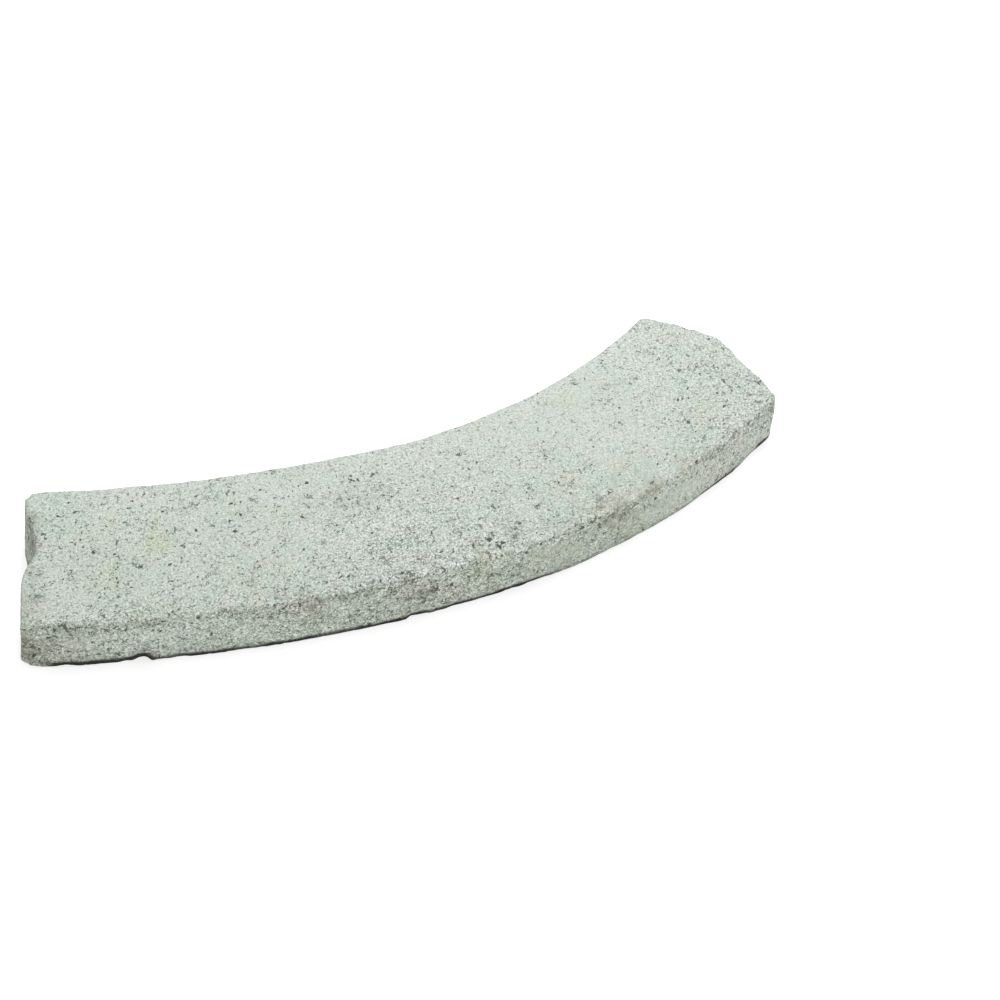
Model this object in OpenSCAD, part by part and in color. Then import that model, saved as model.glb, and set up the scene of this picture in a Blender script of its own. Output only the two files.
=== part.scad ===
// Curved concrete kerb stone, with a blunt nose at one end and a round recess for such a nose at the other.
// It lies on its base. The origin is on the base, on the middle line, where its two bends meet.
// +X runs along the stone towards the nose, +Y towards the hollow side of the bend, and +Z is up.

/* [Section] */
// Width, from the hollow face to the bulging face
width = 132; // [110:1:170]
// Height, from the base to the top face
height = 50; // [40:1:90]
// How far the worn arrises along the top face's long sides reach back from the sharp edge
side_arris = 4; // [1:0.5:7]
// How far the worn arrises at the top face's two ends reach back from the sharp edge
end_arris = 3; // [1:0.5:7]
// How far the worn arris round the recess's mouth reaches back from the sharp edge
mouth_arris = 2; // [1:0.5:5]
// Angle at which an arris's curve meets the faces beside it
arris_angle = 12; // [6:1:20]

/* [Bend] */
// Length of the gently bent part, along the middle line to the recessed end
gentle_length = 315; // [200:5:450]
// Radius of the gently bent part, to the middle line
gentle_radius = 1055; // [600:5:3000]
// Length of the tightly bent part, along the middle line to the shoulders of the nose
tight_length = 265; // [180:5:400]
// Radius of the tightly bent part, to the middle line
tight_radius = 467; // [350:1:1200]

/* [Joint] */
// How far past its shoulders the nose's two flanks would meet, if its tip were sharp
nose_point = 22; // [10:1:30]
// Width of the flat that blunts the nose's tip
nose_flat = 10; // [4:1:20]
// How far the nose and the recess lie from the middle line, towards the hollow face
joint_offset = 9; // [0:1:16]
// Radius of the recess, in which a neighbour's nose turns
recess_radius = 52; // [35:1:70]
// Depth of the recess
recess_depth = 11; // [4:0.5:14]

/* [Hidden] */
$fn = 360;
concrete = [0.78, 0.81, 0.77];
// How far a cutter runs past what it cuts
over = 5;
// Slopes of the nose's flanks, on the hollow side and on the bulging side
hollow_slope = atan(nose_point / (width / 2 - joint_offset));
bulging_slope = atan(nose_point / (width / 2 + joint_offset));
// How much of the nose's sharp point the flat takes off
blunting = nose_flat / 2 * tan((hollow_slope + bulging_slope) / 2);

// Angle, in degrees, that a length turns through at a radius
function bend_angle(radius, length) = length / radius * 180 / PI;

// What an arris takes off a square corner that points to +X and +Y and has its edge at the origin
module arris_corner(arris) {
    radius = arris / (cos(arris_angle) - sin(arris_angle));
    depth = radius * cos(arris_angle);
    translate([-depth, -depth])
        difference() {
            square(depth + over);
            circle(radius);
        }
}

// Cross-section of the stone, standing on its base, with the middle line at X = 0
module section() {
    difference() {
        translate([-width / 2, 0]) square([width, height]);
        for (side = [0, 1])
            mirror([side, 0]) translate([width / 2, height]) arris_corner(side_arris);
    }
}

// A length of the stone from the origin along +X, bent towards +Y
module bent_length(radius, length) {
    translate([0, radius, 0])
        rotate([0, 0, -90])
            rotate_extrude(angle = bend_angle(radius, length))
                translate([radius, 0]) section();
}

// Places its children at the end of such a length, with +X along the stone
module at_end(radius, length) {
    turn = bend_angle(radius, length);
    translate([radius * sin(turn), radius * (1 - cos(turn)), 0])
        rotate([0, 0, turn]) children();
}

// Everything past a flat face at X = 0, and what its top arris takes off
module face_cutter() {
    rotate([90, 0, 0])
        translate([0, 0, -width])
            linear_extrude(2 * width) {
                translate([0, -over]) square([width, height + 2 * over]);
                translate([0, height]) arris_corner(end_arris);
            }
}

// Everything outside the nose. Its shoulders are at X = 0.
module nose_cutter() {
    translate([nose_point, joint_offset, 0]) {
        rotate([0, 0, hollow_slope]) face_cutter();
        rotate([0, 0, -bulging_slope]) face_cutter();
        rotate([0, 0, (hollow_slope - bulging_slope) / 2])
            translate([-blunting, 0, 0]) face_cutter();
    }
}

// The round recess, sunk into the end face at X = 0, and what the arris round its mouth takes off
module recess_cutter() {
    translate([recess_radius - recess_depth, joint_offset, 0])
        rotate_extrude() {
            translate([0, -over]) square([recess_radius, height + 2 * over]);
            translate([recess_radius, height]) mirror([1, 0]) arris_corner(mouth_arris);
        }
}

// The tightly bent part, which ends in the nose
module nose_part() {
    difference() {
        bent_length(tight_radius, tight_length + nose_point + over);
        at_end(tight_radius, tight_length) nose_cutter();
    }
}

// The gently bent part, which ends in the recess. It is drawn along +X and mirrored into place.
module recess_part() {
    mirror([1, 0, 0])
        difference() {
            bent_length(gentle_radius, gentle_length + over);
            at_end(gentle_radius, gentle_length) {
                face_cutter();
                recess_cutter();
            }
        }
}

// The stone, cast in one piece
module kerb_stone() {
    color(concrete) {
        nose_part();
        recess_part();
    }
}

kerb_stone();
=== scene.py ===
"""Looks of the curved concrete kerb stone.

The stone is one cast piece, so the scene has one modelled mesh, kerb_stone_cast, which stands for the plain CAD
solid kerb_stone. It is a lattice wrapped round the stone's box in the stone's own coordinates, in millimetres: s along
the middle line, v across it towards the hollow face, and z up. Its edges are rounded, and it is bent along the two
arcs of the middle line into the shared frame. Then its faces are roughened and pitted, and pieces are broken out of
its foot. Marks on its points tell the material where the surface is open, pale, stained or dirty, and where shade is
painted: along the foot, in a band under the top edge of the bulging face, and in pores, cracks and pits.
"""
import itertools
import math

import bpy
import numpy as np
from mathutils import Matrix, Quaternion, Vector


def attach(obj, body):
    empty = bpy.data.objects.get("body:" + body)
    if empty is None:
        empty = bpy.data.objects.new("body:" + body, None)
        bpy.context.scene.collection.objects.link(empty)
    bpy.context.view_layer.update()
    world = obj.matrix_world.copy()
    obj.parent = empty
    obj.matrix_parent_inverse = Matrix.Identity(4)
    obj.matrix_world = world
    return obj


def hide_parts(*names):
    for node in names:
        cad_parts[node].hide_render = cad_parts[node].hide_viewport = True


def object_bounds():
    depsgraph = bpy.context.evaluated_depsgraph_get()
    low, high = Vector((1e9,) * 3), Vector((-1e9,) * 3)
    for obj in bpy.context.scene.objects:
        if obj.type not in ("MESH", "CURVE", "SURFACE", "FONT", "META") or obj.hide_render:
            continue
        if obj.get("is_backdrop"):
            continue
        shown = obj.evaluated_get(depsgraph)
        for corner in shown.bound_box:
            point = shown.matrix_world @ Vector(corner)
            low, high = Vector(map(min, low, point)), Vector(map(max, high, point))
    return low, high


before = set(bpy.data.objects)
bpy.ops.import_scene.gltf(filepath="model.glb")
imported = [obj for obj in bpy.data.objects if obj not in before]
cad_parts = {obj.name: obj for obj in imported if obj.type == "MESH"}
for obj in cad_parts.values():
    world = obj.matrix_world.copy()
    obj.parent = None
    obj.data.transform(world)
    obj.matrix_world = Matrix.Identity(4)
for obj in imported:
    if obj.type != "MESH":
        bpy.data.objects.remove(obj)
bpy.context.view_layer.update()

# ---------------------------------------------------------------- sizes, in millimetres, as in the CAD
WIDTH, HEIGHT = 132.0, 50.0
GENTLE_LENGTH, GENTLE_RADIUS = 315.0, 1055.0
TIGHT_LENGTH, TIGHT_RADIUS = 265.0, 467.0
HALF = WIDTH / 2
MM_PER_M = 1000

# how many cells the lattice has along, across and up
ALONG, ACROSS, UP = 456, 100, 38
# how many rows of cells stay fine round the base's plain middle
RIM = 4


# ---------------------------------------------------------------- shaping functions
class Noise:
    """Seeded gradient noise in three dimensions, from about -1 to 1."""

    # how many gradients there are to draw from, and what stretches the noise to its range
    COUNT, GAIN = 512, 1.6

    def __init__(self, seed):
        rng = np.random.RandomState(seed)
        self.table = np.concatenate([rng.permutation(self.COUNT)] * 2)
        grads = rng.normal(size=(self.COUNT, 3))
        self.grads = grads / np.linalg.norm(grads, axis=1)[:, None]

    def __call__(self, points, size):
        """The noise at some points. The size of its lumps is one number, or one for each direction."""
        q = np.asarray(points, float) / np.asarray(size, float)
        cell = np.floor(q).astype(int)
        f = q - cell
        w = f * f * f * (f * (f * 6 - 15) + 10)
        last = self.COUNT - 1
        total = np.zeros(len(q))
        for step in itertools.product((0, 1), repeat=3):
            i = (cell + step) & last
            h = self.table[(self.table[(self.table[i[:, 0]] + i[:, 1]) & last] + i[:, 2]) & last]
            weight = np.where(step, w, 1 - w)
            total += (self.grads[h] * (f - step)).sum(1) * (weight[:, 0] * weight[:, 1] * weight[:, 2])
        return total * self.GAIN


def smooth(x, start, end):
    """0 before the start and 1 past the end, in either direction, with a smooth change between them."""
    t = np.clip((x - start) / (end - start), 0, 1)
    return t * t * (3 - 2 * t)


def hump(*terms):
    """1 in the middle and less away from it: (value, middle, reach) for each direction."""
    return np.exp(-sum(((x - middle) / reach) ** 2 for x, middle, reach in terms))


# ---------------------------------------------------------------- the two ends
# how far the worn recess is sunk in the end face, against v
RECESS = [(-66, 0.3), (-40, 0.0), (-22, 0.2), (-14, 1.3), (-9, 3.0), (-5, 5.0), (-1, 7.0), (4, 8.9), (9, 9.9),
          (14, 9.7), (20, 8.7), (26, 7.6), (33, 5.8), (39, 3.9), (44, 1.6), (49, 0.3), (66, 0.3)]
# how far the worn nose stands out past its shoulders, against v
NOSE = [(-66, 0.6), (-60, 1.6), (-56, 3.4), (-52, 5.1), (-45, 8.1), (-40, 9.0), (-34, 10.2), (-29, 11.2),
        (-22, 13.2), (-17, 14.3), (-10, 17.3), (-3, 19.7), (3, 21.4), (8, 21.9), (12, 20.9), (20, 19.0), (25, 17.9),
        (30, 14.9), (37, 14.4), (41, 13.2), (44, 11.3), (48, 10.1), (52, 8.1), (57, 6.7), (60, 5.0), (66, 1.6)]
# how far both ends lean out between the top and the base, and how much more the recess does in its hollow-side half
DRAFT, RECESS_DRAFT = 2.4, 4.0


def curve(points, x):
    """A curve through (x, y) points: linear, then averaged over 3 mm."""
    px, py = np.array(points, float).T
    offsets = np.linspace(-1.5, 1.5, 7)
    return np.mean([np.interp(x + o, px, py) for o in offsets], axis=0)


def end_places(points, outward, radius, length):
    """Turns an end's outline, square to the end, into v and s on the arc that leads to it, each 0.5 mm."""
    square_v = np.linspace(-HALF, HALF, 265)
    out = outward * curve(points, square_v)
    turned = np.arctan2(out, radius - square_v)
    return radius - np.hypot(out, radius - square_v), length + radius * turned


# ---------------------------------------------------------------- lattice round the box
numbers = {}


def corner(i, j, k):
    """Number of the lattice point i along, j across and k up, which lies on the surface of the box."""
    return numbers.setdefault((i, j, k), len(numbers))


faces = []
for i in range(ALONG):
    for j in range(ACROSS):  # top
        faces.append((corner(i, j, UP), corner(i + 1, j, UP), corner(i + 1, j + 1, UP), corner(i, j + 1, UP)))
    for k in range(UP):  # bulging face and hollow face
        faces.append((corner(i, 0, k), corner(i + 1, 0, k), corner(i + 1, 0, k + 1), corner(i, 0, k + 1)))
        faces.append((corner(i + 1, ACROSS, k), corner(i, ACROSS, k), corner(i, ACROSS, k + 1),
                      corner(i + 1, ACROSS, k + 1)))
for j in range(ACROSS):
    for k in range(UP):  # recessed end and nose
        faces.append((corner(0, j + 1, k), corner(0, j, k), corner(0, j, k + 1), corner(0, j + 1, k + 1)))
        faces.append((corner(ALONG, j, k), corner(ALONG, j + 1, k), corner(ALONG, j + 1, k + 1),
                      corner(ALONG, j, k + 1)))
middle_i, middle_j = range(RIM, ALONG - RIM), range(RIM, ACROSS - RIM)
for i in range(ALONG):  # the base's rim
    for j in range(ACROSS):
        if i not in middle_i or j not in middle_j:
            faces.append((corner(i, j + 1, 0), corner(i + 1, j + 1, 0), corner(i + 1, j, 0), corner(i, j, 0)))
edge_j, every_j = [RIM, ACROSS - RIM], list(range(RIM, ACROSS - RIM + 1))
for i in middle_i:  # the base's plain middle, one strip for each row
    near = every_j if i == middle_i[0] else edge_j
    far = every_j if i == middle_i[-1] else edge_j
    faces.append([corner(i, j, 0) for j in near] + [corner(i + 1, j, 0) for j in reversed(far)])

share_along, share_across, share_up = (np.array(list(numbers), float) / (ALONG, ACROSS, UP)).T

# ---------------------------------------------------------------- places on the box, with square edges
v = (share_across * 2 - 1) * HALF
z = share_up * HEIGHT
recess_v, recess_s = end_places(RECESS, -1, GENTLE_RADIUS, GENTLE_LENGTH)
nose_v, nose_s = end_places(NOSE, 1, TIGHT_RADIUS, TIGHT_LENGTH)
lean = 1 - share_up
s_low = -np.interp(v, recess_v, recess_s) - (DRAFT + RECESS_DRAFT * hump((v, 34, 12))) * lean
s_high = np.interp(v, nose_v, nose_s) + DRAFT * lean
s = s_low + share_along * (s_high - s_low)

# ---------------------------------------------------------------- rounded edges
# numbers added to the places that a noise takes only keep its uses from repeating each other
soft = Noise(3)
square = np.stack([s, v, z], -1)
wear = soft(square, (34, 34, 60)) + 0.6 * soft(square + 91, (11, 11, 30))
upper = smooth(z, 15, 35)
lower = smooth(z, 42, 4)

# the corner between the hollow face and the recessed end is chipped, and both lower corners of the bulging face
chipped = hump((s, -315, 9), (v, 66, 9)) * (0.4 + 0.6 * upper)
chipped += 1.1 * hump((s, -315, 8), (v, -66, 9)) * lower
chipped += 1.0 * hump((s, 266, 12), (v, -66, 12)) * lower
# the long arris is worn widest where the two bends meet
worn = hump((s, -8, 55)) * upper


def from_foot_to_top(at_foot, at_top):
    """A radius that changes from the edges along the base to those along the top."""
    return at_foot * (1 - upper) + at_top * upper


# each edge's radius as it is seen from the ends, from the long faces and from the top and the base
radius_end = np.clip(3.2 + 1.0 * wear + 6 * chipped, 1.8, 15)
radius_side = np.clip(from_foot_to_top(3.4, 3.7) + 3.8 * worn + 1.2 * wear + 6 * chipped, 1.8, 15)
radius_level = np.clip(from_foot_to_top(2.8 + 1.6 * smooth(s, 0, 60), 2.9) + 2.6 * worn + 0.9 * wear + 3 * chipped,
                       1.6, 10)


def round_off(distances, radii):
    """Pulls the points near an edge or a corner onto a round one, from their distances to the faces that meet there."""
    scaled = distances / radii
    inner = np.maximum(scaled, 1)
    away = scaled - inner
    reach = np.linalg.norm(away, axis=1)
    reach[reach == 0] = 1
    return np.where(scaled >= 1, scaled, inner + away / reach[:, None]) * radii


to_end = np.minimum(share_along * (s_high - s_low), (1 - share_along) * (s_high - s_low))
to_side = np.minimum(v + HALF, HALF - v)
to_level = np.minimum(z, HEIGHT - z)
to_end, to_side, to_level = round_off(np.stack([to_end, to_side, to_level], -1),
                                      np.stack([radius_end, radius_side, radius_level], -1)).T
s = np.where(share_along < 0.5, s_low + to_end, s_high - to_end)
v = np.where(v < 0, -HALF + to_side, HALF - to_side)
z = np.where(z < HEIGHT / 2, to_level, HEIGHT - to_level)

# ---------------------------------------------------------------- bend
radius = np.where(s < 0, GENTLE_RADIUS, TIGHT_RADIUS)
turned = s / radius
place = np.stack([(radius - v) * np.sin(turned), radius - (radius - v) * np.cos(turned), z], -1)
inward = np.stack([-np.sin(turned), np.cos(turned), np.zeros(len(s))], -1)

mesh = bpy.data.meshes.new("kerb_stone_cast")
mesh.from_pydata((place / MM_PER_M).tolist(), [], faces)
mesh.update()
stone = bpy.data.objects.new("kerb_stone_cast", mesh)
bpy.context.scene.collection.objects.link(stone)

normals = np.zeros(len(mesh.vertices) * 3, np.float32)
mesh.vertices.foreach_get("normal", normals)
normals = normals.reshape(-1, 3).astype(float)
on_top = smooth(normals[:, 2], 0.35, 0.95)
on_base = smooth(normals[:, 2], -0.5, -0.9)
on_wall = 1 - np.maximum(on_top, on_base)

# ---------------------------------------------------------------- relief: lumps, sand and shallow hollows
local = np.stack([s, v, z], -1)
lumps, sand, grit = Noise(11), Noise(12), Noise(13)
relief = 0.35 * lumps(local, 45) * on_top + 0.7 * lumps(local + 300, (38, 38, 22)) * on_wall
relief += 0.15 * sand(local, 9) + 0.15 * sand(local + 70, 4.6) + 0.13 * grit(local, 2.9)
relief -= 0.5 * smooth(sand(local + 500, (7, 7, 5)), 0.28, 0.7) * on_wall

# ---------------------------------------------------------------- pits that are wide enough for the mesh
# pits that stand out: s, v, z, radius
PITS = [(23, -50, 50, 3.0), (27, -44, 50, 2.0), (26, -58, 50, 2.4), (18, -44, 50, 2.0), (-83, -52, 50, 2.6),
        (-89, -47, 50, 1.8), (-102, 13, 50, 2.4), (-91, 45, 50, 2.2), (-207, 38, 50, 2.4), (-274, 33, 50, 2.6),
        (-228, -15, 50, 2.2), (-45, -60, 50, 2.6), (-288, 40, 50, 2.0), (-236, -34, 50, 2.0), (203, -34, 50, 2.2),
        (101, -25, 50, 1.8), (-12, -49, 50, 2.0), (-246, -1, 50, 1.8), (-196, -66, 40, 2.2), (-248, -66, 30, 1.8),
        (-10, -66, 30, 2.6), (-14, -66, 37, 2.0), (55, -66, 45, 2.0), (-308, 34, 44, 2.8), (-271, 15, 50, 2.0),
        (-13, -28, 50, 1.9), (120, -20, 50, 1.9), (-220, 30, 50, 2.0), (16, -3, 50, 2.0), (-259, -42, 50, 1.9),
        (-280, 53, 50, 2.0), (-22, -66, 38, 2.4), (-278, -66, 43, 2.4), (-132, -66, 42, 2.3), (-307, -66, 15, 3.0),
        (-303, -66, 22, 2.4), (-218, -66, 34, 2.3), (44, -66, 41, 2.3)]
# chains of small pits: (s, v, z) at both ends, and how many pits
PIT_CHAINS = [((-30, -26, 50), (-22, -34, 50), 6), ((-68, 19, 50), (-42, 22, 50), 9), ((-56, 43, 50), (-54, 31, 50), 5),
              ((-54, -60, 50), (-36, -62, 50), 9), ((-38, -66, 41), (-18, -66, 46), 9),
              ((-252, -24, 50), (-238, -32, 50), 6), ((-304, -66, 46), (-264, -66, 44), 16),
              ((-218, -66, 44), (-188, -66, 45), 11), ((-100, -54, 50), (-80, -51, 50), 8),
              ((12, -40, 50), (32, -58, 50), 10), ((-136, -66, 44), (-110, -66, 46), 10),
              ((58, -66, 46), (98, -66, 45), 12), ((100, -66, 45), (120, -66, 38), 9),
              ((-275, 12, 50), (-262, 4, 50), 6), ((160, -52, 50), (172, -46, 50), 5),
              ((-178, -30, 50), (-166, -24, 50), 5), ((212, -10, 50), (224, -20, 50), 6),
              ((-150, 34, 50), (-140, 38, 50), 5)]
# how many scattered pits are tried, and a length along the stone that no pit reaches past
SCATTERED, PIT_REACH = 1500, 4.5
# how deep a pit is for its radius, and the depth from which its painted shade is darkest
PIT_DEPTH, DARKEST_PIT = 0.5, 0.7

rng = np.random.RandomState(5)


def chain_pit(first, last):
    """A pit at a random place along a chain: s, v, z, radius. It stays on the face that the chain is on."""
    first, last = np.array(first), np.array(last)
    on_bulging_face = first[1] == -HALF
    centre = first + (last - first) * rng.random_sample()
    centre = centre + rng.normal(0, 1.1, 3) * (1, not on_bulging_face, on_bulging_face)
    return (*centre, rng.uniform(1.1, 2.1))


# the left part of the top, the nose and the bulging face are the most open
picked = rng.permutation(len(local))[:SCATTERED]
open_there = 0.45 + 0.35 * smooth(s[picked], -60, -200) + 0.3 * smooth(s[picked], 150, 230) + 0.3 * on_wall[picked]
picked = picked[rng.random_sample(len(picked)) < open_there]
scattered = np.column_stack([local[picked], 0.8 + 1.5 * rng.random_sample(len(picked)) ** 2.2])
strung = [chain_pit(first, last) for first, last, count in PIT_CHAINS for _ in range(count)]
pits = np.concatenate([scattered, PITS, strung])
squeezes = rng.uniform(0.55, 1.0, (len(pits), 3))

# a warp draws the pits out of round
warped = local + 0.9 * np.stack([grit(local + shift, 3.4) for shift in (40, 80, 120)], -1)
by_s = np.argsort(s)
sorted_s = s[by_s]
pit_depth = np.zeros(len(local))
for (*centre, wide), squeeze in zip(pits, squeezes):
    start, stop = np.searchsorted(sorted_s, (centre[0] - PIT_REACH, centre[0] + PIT_REACH))
    near = by_s[start:stop]
    d = np.linalg.norm((warped[near] - centre) / squeeze, axis=1) / wide
    pit_depth[near] = np.maximum(pit_depth[near], PIT_DEPTH * wide * np.clip(1 - d * d, 0, 1) ** 1.5)
relief -= pit_depth
relief *= 1 - on_base

# ---------------------------------------------------------------- lower edge of the bulging face
# pieces broken out of it: s, half length, depth
BREAK_OUTS = [(-238, 9, 1.4), (-232, 6, 2.4), (-205, 5, 0.8), (-50, 13, 0.3), (-34, 8, 2.8), (-8, 18, 1.3),
              (34, 36, 2.2), (106, 40, 1.2), (198, 24, 0.5), (242, 13, 1.8), (-285, 6, 0.8)]
# 1 at that edge and 0 away from it
foot = hump((np.maximum(z - 3, 0), 0, 5)) * smooth(v, -54, -62)
ragged = Noise(21)(local, (9, 30, 9))
dent = np.zeros(len(local))
for middle, half_length, deep in BREAK_OUTS:
    dent += deep * (1 + 0.4 * ragged) * np.exp(-((s - middle) / half_length) ** 4)
# a burr of grout beside the widest chip
dent -= 1.8 * hump((s, -226, 2.2), (z, 3, 3))

place = place + normals * relief[:, None] + inward * (dent * foot)[:, None]
place[:, 2] = np.maximum(place[:, 2], 0)
mesh.vertices.foreach_set("co", (place / MM_PER_M).astype(np.float32).ravel())
mesh.update()
mesh.polygons.foreach_set("use_smooth", np.ones(len(mesh.polygons), bool))

# ---------------------------------------------------------------- marks that the material reads
blotch = Noise(31)
rough_edge = 0.9 * blotch(local, 17) + 0.7 * blotch(local + 200, 7) + 0.5 * blotch(local + 300, 3.5)


def patches(spots):
    """Soft-edged patches: s, v, z, half length along, half size across and up, strength."""
    total = np.zeros(len(local))
    for s0, v0, z0, half_along, half_across, strength in spots:
        d = np.hypot((s - s0) / half_along, np.hypot(v - v0, z - z0) / half_across)
        total = np.maximum(total, strength * smooth(d + rough_edge, 1.5, -0.1))
    return total


# dirt, and painted shade: the patches on the bulging face at z 42 to 47 paint a darker band of shade just under its top
# edge
dirt_and_shade = patches([(-305, -66, 20, 16, 26, 1.0), (-268, -66, 8, 30, 10, 0.4), (-232, -66, 5, 15, 9, 0.9),
                (-100, -66, 43, 40, 9, 0.65), (-230, -66, 46, 75, 5, 0.45), (-80, -66, 42, 8, 10, 0.45),
                (-34, -66, 24, 17, 17, 0.75), (114, -66, 36, 17, 18, 0.75), (145, -66, 46, 26, 6, 0.7),
                (50, -66, 47, 9, 5, 0.6), (2, -66, 18, 12, 10, 0.4), (205, -66, 46, 50, 6, 0.2),
                (-307, 34, 40, 6, 13, 0.7), (-310, -36, 50, 9, 34, 0.45), (-60, -66, 22, 60, 30, 0.36),
                (54, -66, 24, 66, 34, 0.46), (126, -66, 22, 28, 22, 0.5), (-60, 22, 50, 34, 20, 0.3)])
# broad faint dirt all over the side faces
uneven = np.clip(blotch(local + 400, (60, 60, 24)), 0, 1) * on_wall
dirt_and_shade = np.maximum(dirt_and_shade, 0.55 * uneven)
brown = patches([(-300, -66, 18, 24, 24, 0.9), (-122, -66, 42, 20, 10, 1.0), (-40, -66, 30, 16, 16, 0.9),
                 (-8, -66, 22, 10, 12, 0.9), (205, -66, 26, 30, 20, 0.6), (-305, 15, 25, 14, 30, 0.5),
                 (112, -66, 38, 12, 14, 0.5)])
ochre = patches([(-218, 4, 50, 13, 15, 1.0), (-248, 31, 50, 7, 7, 0.8), (144, 45, 50, 16, 9, 0.6),
                 (-222, -57, 50, 14, 8, 0.8), (-253, -16, 50, 10, 10, 0.7), (12, -66, 33, 13, 14, 1.0),
                 (58, -66, 32, 26, 18, 0.35), (108, -66, 28, 22, 18, 0.4), (-120, 20, 50, 16, 12, 0.25),
                 (235, -66, 34, 18, 12, 0.4), (-262, -66, 24, 20, 14, 0.4), (-268, 10, 50, 11, 9, 0.4)])
# greener paste
green = patches([(-290, 42, 50, 20, 26, 0.9), (-185, -15, 50, 26, 18, 0.4), (-192, -66, 25, 26, 20, 1.0),
                 (250, -13, 50, 14, 12, 0.5), (-252, -30, 50, 50, 26, 0.35), (-160, 40, 50, 40, 20, 0.35)])
# paler stretches of the bulging face
pale = patches([(-264, -66, 26, 40, 15, 1.0), (-196, -66, 26, 36, 15, 1.0), (238, -66, 24, 24, 16, 1.0),
                (200, -66, 22, 28, 14, 0.9), (-60, -66, 20, 24, 12, 0.4), (84, -66, 24, 14, 14, 0.6)])
# smooth stretches where fine paste closes the surface
closed = patches([(145, -66, 25, 30, 40, 1.0), (62, -66, 28, 24, 24, 0.9), (150, 30, 50, 70, 34, 0.3)])

# painted contact shadow, with some dirt, along the foot where the stone meets the ground, darkest in the gaps under its
# broken-out lower edge and fainter along the hollow face: how strong it is, and how high it reaches
foot_shadow_and_dirt = 0.22 + 0.78 * smooth(s, 85, 50) * smooth(s, -306, -290) + 0.75 * smooth(s, 182, 196) * smooth(s, 230, 220)
foot_shadow_and_dirt += 0.9 * smooth(s, 244, 254)
foot_shadow_and_dirt = np.clip(foot_shadow_and_dirt + 0.3 * blotch(local + 700, (20, 20, 60)), 0.05, 1) * smooth(v, 20, -20)
foot_shadow_and_dirt += 0.4 * smooth(v, -20, 20)
# the painted shadow reaches higher at the right end and in the gap under the chip near s -232
line_top = 4.0 + 2.4 * smooth(s, 234, 250) + 1.2 * smooth(s, -218, -230) + 4.5 * hump((s, -232, 6))
line_top += 1.5 * hump((s, 38, 10)) + 1.0 * blotch(local + 800, (13, 13, 40))
foot_shadow_and_dirt *= smooth(z - line_top, 2.8, 0) * (1 - on_base)

# how open the surface is, and how much its grains show
pores = 0.5 + 0.35 * smooth(s, -60, -200) + 0.25 * smooth(s, 165, 230) + 0.3 * on_wall + 0.25 * smooth(v, -30, -60)
pores += 0.5 * hump((s, -30, 85)) * smooth(v, 60, -30) + 0.5 * hump((z, 44, 4)) * on_wall
pores = np.clip(pores - 0.8 * closed - 0.45 * pale, 0, 1.5) / 1.5
grains = 0.24 + 0.85 * pores - 0.19 * smooth(s, -70, -130) * on_top + 0.06 * hump((s, 0, 60)) * on_top

# how much of the paste is the side faces' own, which fades towards the nose
side_paste = on_wall * (1 - 0.35 * smooth(s, 10, 40) - 0.25 * smooth(s, 140, 200))

marks = {"wall": side_paste, "pit": np.clip(pit_depth / DARKEST_PIT, 0, 1), "green": green, "pale": pale,
         "dirt_and_shade": dirt_and_shade, "brown": brown, "ochre": ochre, "foot_shadow_and_dirt": foot_shadow_and_dirt, "pores_here": pores,
         "grains": grains, "to_hollow": np.clip(v / WIDTH + 0.5, 0, 1)}
for name, values in marks.items():
    attribute = mesh.attributes.new(name, "FLOAT", "POINT")
    attribute.data.foreach_set("value", np.asarray(values, np.float32))

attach(stone, "root")
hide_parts("kerb_stone")


# ---------------------------------------------------------------- shader helpers
def cleared_tree(owner):
    owner.use_nodes = True
    owner.node_tree.nodes.clear()
    return owner.node_tree


def feed(socket, value):
    """Gives a node's input a plain value, or links another node's output to it."""
    if isinstance(value, bpy.types.NodeSocket):
        tree.links.new(value, socket)
    else:
        socket.default_value = value


def node(kind, inputs=None, **settings):
    """A new node in the tree that is being made."""
    made = tree.nodes.new(kind)
    for key, value in settings.items():
        setattr(made, key, value)
    for key, value in (inputs or {}).items():
        feed(made.inputs[key], value)
    return made


def calc(operation, first, second=0.0):
    return node("ShaderNodeMath", {0: first, 1: second}, operation=operation).outputs[0]


def plus(first, second):
    return calc("ADD", first, second)


def times(first, second):
    return calc("MULTIPLY", first, second)


def larger(first, second):
    return calc("MAXIMUM", first, second)


def spread(value, low, high, to_low=0.0, to_high=1.0):
    """The value's range from low to high, spread smoothly over another one."""
    made = node("ShaderNodeMapRange", {"Value": value, "From Min": low, "From Max": high, "To Min": to_low,
                                       "To Max": to_high}, interpolation_type="SMOOTHSTEP")
    return made.outputs["Result"]


def mix(share, first, second):
    """The first colour with a share of the second. A colour is an output, or red, green and blue."""
    made = node("ShaderNodeMix", {0: share}, data_type="RGBA")
    sockets = [socket for socket in made.inputs if socket.type == "RGBA"]
    for socket, value in zip(sockets, (first, second)):
        feed(socket, (*value, 1) if isinstance(value, tuple) else value)
    return next(socket for socket in made.outputs if socket.type == "RGBA")


def noise(scale, detail=2.0, rough=0.5, distort=0.0, offset=(0, 0, 0)):
    """Noise with a number of lumps to the metre. The offset keeps its uses from repeating each other."""
    moved = node("ShaderNodeMapping", {"Vector": where, "Location": offset}).outputs["Vector"]
    made = node("ShaderNodeTexNoise", {"Vector": moved, "Scale": scale, "Detail": detail, "Roughness": rough,
                                       "Distortion": distort})
    return made.outputs["Fac"]


def centred(value):
    """Noise as a number on either side of 0."""
    return calc("SUBTRACT", value, 0.5)


def mark(name):
    return node("ShaderNodeAttribute", attribute_name=name, attribute_type="GEOMETRY").outputs["Fac"]


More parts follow.
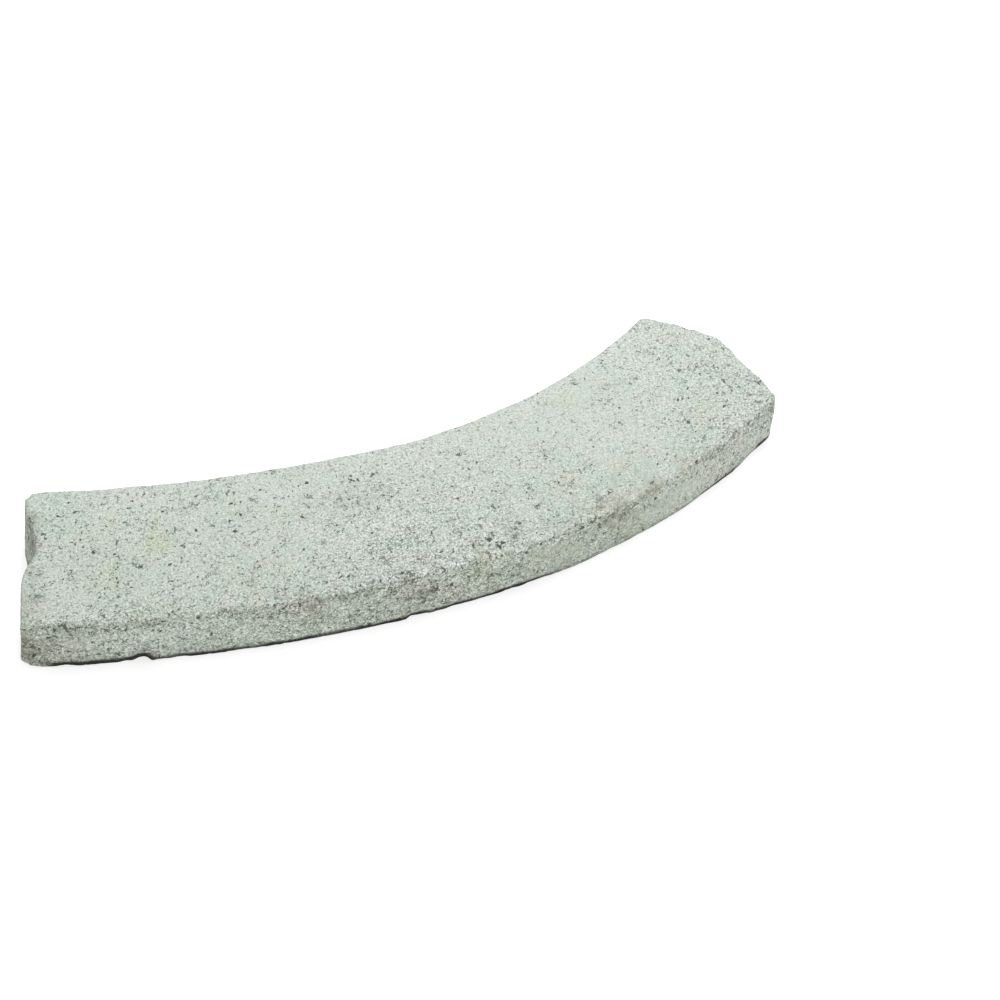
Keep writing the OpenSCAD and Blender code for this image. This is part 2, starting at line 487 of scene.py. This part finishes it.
# ---------------------------------------------------------------- concrete
# the paste on the top and on the faces beside it, which are greyer
GREENER_TOP, WARMER_TOP, LIGHTER_TOP = (0.472, 0.568, 0.497), (0.526, 0.556, 0.472), (0.598, 0.643, 0.603)
GREENER_SIDE, WARMER_SIDE, LIGHTER_SIDE = (0.462, 0.562, 0.45), (0.502, 0.542, 0.42), (0.585, 0.648, 0.545)
TOWARDS_HOLLOW = (0.65, 0.70, 0.65)
# the first colour is dirt, and also painted shade under the top edge of the bulging face
# the hole colour is painted shade inside pores, cracks and pits
# the nearly black foot colour is painted contact shadow with some dirt
DIRT_AND_SHADE, HOLE_SHADE, FOOT_SHADOW_AND_DIRT = (0.17, 0.17, 0.12), (0.075, 0.09, 0.075), (0.012, 0.016, 0.012)
# mark, how much of its colour shows, and its colour
STAINS = [("pale", 0.70, (0.70, 0.75, 0.68)), ("green", 0.70, (0.47, 0.595, 0.475)),
          ("ochre", 0.55, (0.50, 0.565, 0.36)), ("brown", 0.60, (0.48, 0.41, 0.35))]

material = bpy.data.materials.new("cast_concrete")
tree = cleared_tree(material)
where = node("ShaderNodeTexCoord").outputs["Object"]

# cement paste, from greener to warmer and from darker to lighter, and lightest towards the hollow face
hue = spread(noise(52, 2.5, 0.6, 0, (0.2, 0.8, 0)), 0.36, 0.64)
paste = mix(hue, GREENER_TOP, WARMER_TOP)
paste = mix(spread(noise(26, 3, 0.6), 0.35, 0.65, 0.0, 0.5), paste, LIGHTER_TOP)
paste = mix(times(mark("to_hollow"), 0.5), paste, TOWARDS_HOLLOW)
side = mix(hue, GREENER_SIDE, WARMER_SIDE)
side = mix(spread(noise(34, 3, 0.6, 0.3, (0.5, 0, 0)), 0.38, 0.64, 0.0, 0.6), side, LIGHTER_SIDE)
colour = mix(times(mark("wall"), 0.85), paste, side)
for name, share, stain in STAINS:
    colour = mix(times(mark(name), share), colour, stain)

# sand in two sizes, dark grains and then light ones: noise, its range, the shares at both ends of it, and colour
fine = noise(620, 2, 0.75, 0, (0.3, 0, 0))
coarse = noise(300, 2, 0.65, 0, (0, 0.7, 0))
grains_here = mark("grains")
for grain, low, high, share_low, share_high, grain_colour in (
        (fine, 0.30, 0.54, 0.80, 0.0, (0.20, 0.23, 0.195)),
        (coarse, 0.30, 0.52, 0.50, 0.0, (0.22, 0.255, 0.215)),
        (fine, 0.48, 0.68, 0.0, 1.0, (0.90, 0.92, 0.88)),
        (coarse, 0.52, 0.72, 0.0, 0.6, (0.82, 0.85, 0.80))):
    colour = mix(times(spread(grain, low, high, share_low, share_high), grains_here), colour, grain_colour)

# dirt sits in specks
# dirt, and the painted shade under the top edge of the bulging face, sit in specks
specks = spread(noise(260, 3, 0.75, 0, (0, 0.2, 0.6)), 0.42, 0.62)
colour = mix(times(mark("dirt_and_shade"), plus(times(specks, 0.6), 0.25)), colour, DIRT_AND_SHADE)

# ragged pores in two sizes that gather in places, painted dark as the shade inside them
gathered = times(centred(noise(42, 2, 0.6, 0, (0.4, 0.4, 0))), 0.16)
lift = plus(plus(times(mark("pores_here"), 0.08), times(mark("dirt_and_shade"), 0.05)), gathered)
wide_pores = spread(plus(noise(240, 2, 0.65, 0.9, (0.1, 0.2, 0)), lift), 0.67, 0.73)
small_pores = spread(plus(noise(470, 1.5, 0.6, 0.6, (0.6, 0, 0.1)), lift), 0.675, 0.75)
# a few short cracks, painted dark as the shade inside them
crack = calc("ABSOLUTE", centred(noise(150, 2, 0.65, 0.8, (0.8, 0, 0.3))))
crack = times(spread(crack, 0.0, 0.03, 1.0, 0.0), spread(noise(80, 1, 0.5, 0, (0, 0.9, 0.4)), 0.58, 0.64))
# the mesh's own pits, with torn edges, painted darker the deeper they are: painted shade inside them
torn = times(centred(noise(330, 2, 0.65, 0.5, (0.2, 0.5, 0))), 2.2)
pit = times(spread(plus(mark("pit"), torn), 0.40, 0.60), spread(mark("pit"), 0.02, 0.12))

# pores, cracks and pits are painted dark: painted shade inside the holes
holes = larger(larger(wide_pores, times(small_pores, 0.8)), larger(crack, pit))
hole_shade = larger(spread(noise(120, 1, 0.5, 0, (0.9, 0.1, 0.5)), 0.38, 0.62, 0.5, 0.9), times(pit, 0.93))
colour = mix(times(holes, hole_shade), colour, HOLE_SHADE)
# painted contact shadow, with some dirt, nearly black along the foot
colour = mix(times(mark("foot_shadow_and_dirt"), 0.97), colour, FOOT_SHADOW_AND_DIRT)

height = plus(times(fine, 0.5), times(coarse, 0.7))
height = calc("SUBTRACT", height, times(larger(wide_pores, small_pores), 0.9))
bump = node("ShaderNodeBump", {"Height": height, "Strength": 0.7, "Distance": 0.001}).outputs["Normal"]
shader = node("ShaderNodeBsdfPrincipled", {"Base Color": colour, "Normal": bump, "Roughness": 0.93,
                                           "Specular IOR Level": 0.2})
node("ShaderNodeOutputMaterial", {"Surface": shader.outputs[0]})
mesh.materials.append(material)

# ---------------------------------------------------------------- floor and world
WHITE = (1, 1, 1, 1)
FLOOR_GREY = (0.7, 0.7, 0.7, 1)
# half the floor's side, and how far the floor lies below the base, so that the two don't flicker, in metres
FLOOR_REACH, FLOOR_DROP = 12.0, 0.0002
FLOOR_GLOW, WORLD_LIGHT = 0.6, 0.6


def seen_directly():
    """1 for what the camera sees, also by reflection or through glass, and 0 for what only lights the object."""
    path = node("ShaderNodeLightPath")
    return larger(larger(path.outputs["Is Camera Ray"], path.outputs["Is Glossy Ray"]),
                  path.outputs["Is Transmission Ray"])


floor_mesh = bpy.data.meshes.new("floor")
floor_corners = [(x * FLOOR_REACH, y * FLOOR_REACH, 0) for x, y in ((-1, -1), (1, -1), (1, 1), (-1, 1))]
floor_mesh.from_pydata(floor_corners, [], [(0, 1, 2, 3)])
floor = bpy.data.objects.new("floor", floor_mesh)
floor.location = (0, 0, -FLOOR_DROP)
bpy.context.scene.collection.objects.link(floor)
floor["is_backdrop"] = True

paint = bpy.data.materials.new("floor_paint")
tree = cleared_tree(paint)
plain = node("ShaderNodeBsdfDiffuse", {"Color": FLOOR_GREY})
glow = node("ShaderNodeEmission", {"Color": WHITE, "Strength": times(seen_directly(), FLOOR_GLOW)})
both = node("ShaderNodeAddShader", {0: plain.outputs[0], 1: glow.outputs[0]})
node("ShaderNodeOutputMaterial", {"Surface": both.outputs[0]})
floor_mesh.materials.append(paint)

world = bpy.data.worlds.new("studio")
bpy.context.scene.world = world
tree = cleared_tree(world)
dim = node("ShaderNodeBackground", {"Color": WHITE, "Strength": WORLD_LIGHT})
white = node("ShaderNodeBackground", {"Color": WHITE, "Strength": 1.0})
chosen = node("ShaderNodeMixShader", {0: seen_directly(), 1: dim.outputs[0], 2: white.outputs[0]})
node("ShaderNodeOutputWorld", {"Surface": chosen.outputs[0]})

# ---------------------------------------------------------------- lamps
LAMP_AIM = Vector((0, 0.03, 0))


def lamp(name, spot, size, power):
    """A round lamp, with its place and its width in metres and its power in watts."""
    light = bpy.data.lights.new(name, "AREA")
    light.shape = "DISK"
    light.size = size
    light.energy = power
    made = bpy.data.objects.new(name, light)
    made.location = spot
    made.rotation_euler = (LAMP_AIM - Vector(spot)).to_track_quat("-Z", "Y").to_euler()
    bpy.context.scene.collection.objects.link(made)


lamp("key_light", (0.5, 0.8, 1.7), 1.2, 19.0)
lamp("fill_light", (0.2, -2.15, 0.8), 1.6, 17.0)

# ---------------------------------------------------------------- camera, from the left and above, with a slight roll
CAMERA_AZIMUTH, CAMERA_ELEVATION, CAMERA_ROLL = map(math.radians, (-21.528, 48.778, 2.0))
# what the camera looks at, and how far it stands from that, in metres
CAMERA_TARGET, CAMERA_DISTANCE = Vector((0.0620, 0.02587, 0.0)), 3.0915

camera_data = bpy.data.cameras.new("camera")
camera_data.sensor_width = 36.0
camera_data.lens = 144.0
camera_data.clip_start, camera_data.clip_end = 0.05, 100.0
camera = bpy.data.objects.new("camera", camera_data)
back = Vector((math.sin(CAMERA_AZIMUTH) * math.cos(CAMERA_ELEVATION),
               -math.cos(CAMERA_AZIMUTH) * math.cos(CAMERA_ELEVATION), math.sin(CAMERA_ELEVATION)))
camera.location = CAMERA_TARGET + back * CAMERA_DISTANCE
camera.rotation_euler = ((-back).to_track_quat("-Z", "Y") @ Quaternion((0, 0, 1), CAMERA_ROLL)).to_euler()
bpy.context.scene.collection.objects.link(camera)
bpy.context.scene.camera = camera
bpy.context.scene.view_settings.view_transform = "Standard"

low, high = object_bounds()
